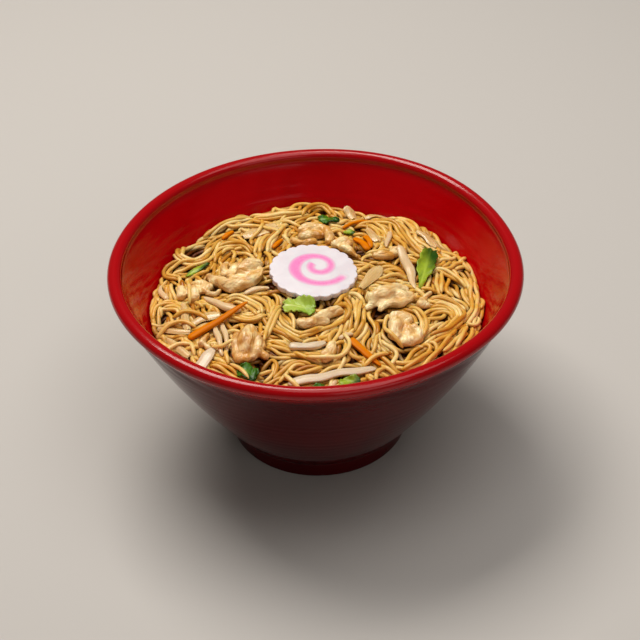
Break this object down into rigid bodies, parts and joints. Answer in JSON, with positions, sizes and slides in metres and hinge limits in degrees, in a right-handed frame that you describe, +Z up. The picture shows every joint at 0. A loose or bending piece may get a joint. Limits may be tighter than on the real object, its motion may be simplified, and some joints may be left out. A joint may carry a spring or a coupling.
{
  "type": "bowl of stir-fried ramen",
  "caption": "Red glazed bowl filled with a heap of stir-fried ramen noodles, chicken, carrot, sprouts, greens and a scalloped fish-cake slice with a pink swirl.",
  "frame": {"origin": "centre of the bowl's foot, on the table", "axes": "+Z up along the bowl's axis; -Y towards the viewer of the picture; +X to that viewer's right"},
  "size_m": [0.1999, 0.2003, 0.1025],
  "materials": {
    "red_glaze": "deep red glaze, high gloss, darker outside and at the foot",
    "noodle": "golden egg noodles with a thin glossy brown sauce",
    "chicken": "pale cooked chicken with golden sauce and browned creases",
    "fish_cake": "off-white fish cake, smooth and slightly moist",
    "fish_cake_pink": "pink fish-cake swirl with soft edges",
    "sprout": "pale translucent bean sprout, wet",
    "stalk": "cream-coloured stalk of cabbage or onion, wet",
    "onion": "translucent cooked onion with sauce",
    "carrot": "cooked orange carrot strip, wet",
    "leaf_green": "cooked green leaf, wet, lighter at its base",
    "leaf_pale": "pale green cabbage with ribs, wet",
    "leaf_dark": "dark green cooked leaf, wet"
  },
  "bodies": {
    "root": {"bowl": "red_glaze", "cabbage_front": "leaf_green", "cabbage_middle": "leaf_pale", "carrot_back": "carrot", "carrot_by_slice": "carrot", "carrot_far_left": "carrot", "carrot_left": "carrot", "carrot_right": "carrot", "carrot_thread": "carrot", "chicken_back_right": "chicken", "chicken_behind_right": "chicken", "chicken_behind_slice": "chicken", "chicken_below_slice": "chicken", "chicken_far_left": "chicken", "chicken_front_left": "chicken", "chicken_front_small": "chicken", "chicken_left": "chicken", "chicken_left_small": "chicken", "chicken_right": "chicken", "chicken_right_small": "chicken", "chicken_round": "chicken", "fish_cake_slice": "fish_cake", "fish_cake_swirl": "fish_cake_pink", "leaf_back": "leaf_dark", "leaf_chip_back": "leaf_green", "leaf_front": "leaf_dark", "leaf_front_left": "leaf_dark", "leaf_right": "leaf_green", "noodles": "noodle", "onion_back": "onion", "onion_back_left": "onion", "onion_back_right": "onion", "onion_far_left": "onion", "onion_green_left": "leaf_green", "onion_left": "onion", "onion_right": "onion", "onion_upright": "onion", "sprout_by_leaf": "sprout", "sprout_by_slice": "sprout", "sprout_far_left": "sprout", "sprout_left": "sprout", "sprout_upright_a": "sprout", "sprout_upright_b": "sprout", "sprout_white": "sprout", "stalk_front": "stalk", "stalk_front_left": "stalk", "stalk_middle": "stalk"}
  },
  "joints": []
}
